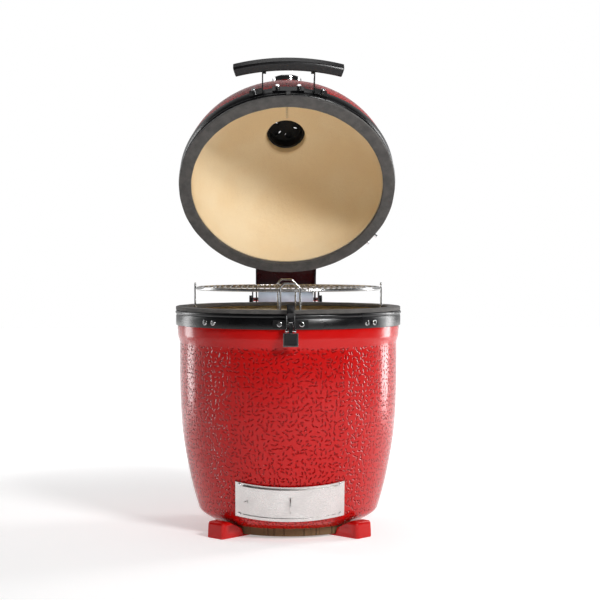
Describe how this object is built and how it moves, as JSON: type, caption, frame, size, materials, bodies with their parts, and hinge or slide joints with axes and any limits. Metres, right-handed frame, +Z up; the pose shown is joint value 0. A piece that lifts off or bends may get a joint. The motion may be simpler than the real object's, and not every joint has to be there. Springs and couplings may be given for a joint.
{
  "type": "ceramic kamado charcoal grill",
  "caption": "Egg-shaped ceramic charcoal grill with a hinged domed lid, wire cooking rack, latch, top vent, draft door and ash drawer.",
  "frame": {"origin": "on the floor under the vertical axis of the pot", "axes": "+Z up, latch and draft door towards -Y, lid hinge towards +Y, +X to the right seen from the front"},
  "size_m": [0.541, 0.6944, 1.119],
  "materials": {
    "red_glaze": "glossy",
    "fire_clay": "matte",
    "seal_felt": "matte",
    "fibre_packing": "matte",
    "black_coat": "satin",
    "bright_bolts": "satin",
    "grey_coat": "satin",
    "spring_steel": "satin",
    "cast_grate": "matte",
    "stainless_wire": "polished",
    "stainless_sheet": "brushed",
    "bright_latch": "polished",
    "latch_grip": "matte",
    "handle_black": "grained",
    "chrome_case": "polished",
    "dial_face": "satin",
    "dial_glass": "polished",
    "needle_paint": "satin",
    "probe_steel": "satin",
    "vent_casting": "satin"
  },
  "bodies": {
    "base": {"base_shell": "red_glaze", "foot_front_left": "red_glaze", "foot_front_right": "red_glaze", "foot_rear": "red_glaze", "base_gasket": "seal_felt", "base_band": "black_coat", "latch_bolts": "bright_bolts", "shelf_bolts": "bright_bolts", "hinge_base_bolts": "bright_bolts", "firebox": "fire_clay", "charcoal_grate": "cast_grate", "fire_ring": "fire_clay", "draft_gasket": "fibre_packing", "draft_frame": "stainless_sheet", "draft_screws": "bright_bolts", "drawer_rails": "stainless_sheet", "hinge_base_bracket": "black_coat", "hinge_pin": "bright_bolts", "hinge_nuts": "black_coat", "hinge_barrel": "grey_coat", "lift_springs": "spring_steel", "latch_plate": "black_coat", "latch_pin": "bright_bolts"},
    "drawer": {"ash_tray": "stainless_sheet", "drawer_front": "stainless_sheet"},
    "draft_slide": {"draft_door": "stainless_sheet", "draft_pull": "stainless_sheet", "draft_stop": "stainless_sheet"},
    "rack": {"cooking_rack": "stainless_wire"},
    "left_grate": {"grate_left": "stainless_wire"},
    "right_grate": {"grate_right": "stainless_wire"},
    "lever": {"latch_lever": "bright_latch", "latch_pad": "latch_grip", "bail_pin": "bright_bolts"},
    "bail": {"latch_bail": "bright_latch"},
    "vent_swing": {"vent_cap": "vent_casting"},
    "vent_dial": {"vent_wheel": "vent_casting", "vent_knob": "vent_casting"},
    "needle": {"thermometer_needle": "needle_paint"},
    "lid": {"lid_dome": "red_glaze", "lid_gasket": "seal_felt", "lid_band": "black_coat", "lid_hinge_bracket": "black_coat", "lid_hinge_bolts": "bright_bolts", "handle_arm_left": "black_coat", "handle_arm_right": "black_coat", "handle_bar": "handle_black", "handle_bolts": "bright_bolts", "latch_keeper": "black_coat", "keeper_bolts": "bright_bolts", "side_plate": "black_coat", "side_bolts": "bright_bolts", "thermometer_case": "chrome_case", "thermometer_dial": "dial_face", "thermometer_glass": "dial_glass", "thermometer_stem": "probe_steel", "thermometer_nut": "probe_steel", "vent_gasket": "fibre_packing", "vent_collar": "vent_casting", "vent_screw": "bright_bolts"}
  },
  "joints": [
    {"name": "lid_hinge", "type": "hinge", "parent": "base", "child": "lid", "pos_m": [0, 0.362, 0.53], "axis": [-1, 0, 0], "range_deg": [-52.2, 0], "stiffness_Nm_per_rad": 52, "springref_deg": 36.1},
    {"name": "drawer_slide", "type": "slide", "parent": "base", "child": "drawer", "axis": [0, -1, 0], "range_m": [0, 0.16]},
    {"name": "draft_slide", "type": "hinge", "parent": "drawer", "child": "draft_slide", "pos_m": [0, -0.00785, 0.14564], "axis": [0, -0.2588, 0.9659], "range_deg": [0, 20]},
    {"name": "rack_lift", "type": "slide", "parent": "base", "child": "rack", "axis": [0, 0, 1], "range_m": [0, 0.12]},
    {"name": "left_grate_lift", "type": "slide", "parent": "rack", "child": "left_grate", "axis": [0, 0, 1], "range_m": [0, 0.06]},
    {"name": "right_grate_lift", "type": "slide", "parent": "rack", "child": "right_grate", "axis": [0, 0, 1], "range_m": [0, 0.06]},
    {"name": "latch_throw", "type": "hinge", "parent": "base", "child": "lever", "pos_m": [0, -0.281, 0.497], "axis": [-1, 0, 0], "range_deg": [-3, 100]},
    {"name": "bail_swing", "type": "hinge", "parent": "lever", "child": "bail", "pos_m": [0, -0.286, 0.482], "axis": [1, 0, 0], "range_deg": [-3, 100]},
    {"name": "vent_cap_swing", "type": "hinge", "parent": "lid", "child": "vent_swing", "pos_m": [0.064, 0.35775, 0.98484], "axis": [0, 0.7902, 0.6129], "range_deg": [0, 100]},
    {"name": "vent_wheel_turn", "type": "hinge", "parent": "vent_swing", "child": "vent_dial", "pos_m": [0, 0.36407, 0.98974], "axis": [0, 0.7902, 0.6129], "range_deg": [0, 36]},
    {"name": "needle_turn", "type": "hinge", "parent": "lid", "child": "needle", "pos_m": [0, 0.18459, 1.08602], "axis": [0, 0.2284, 0.9736], "range_deg": [0, 270], "stiffness_Nm_per_rad": 0.002}
  ],
  "couplings": [
    {"joint": "bail_swing", "follows": "latch_throw", "ratio": 1}
  ]
}
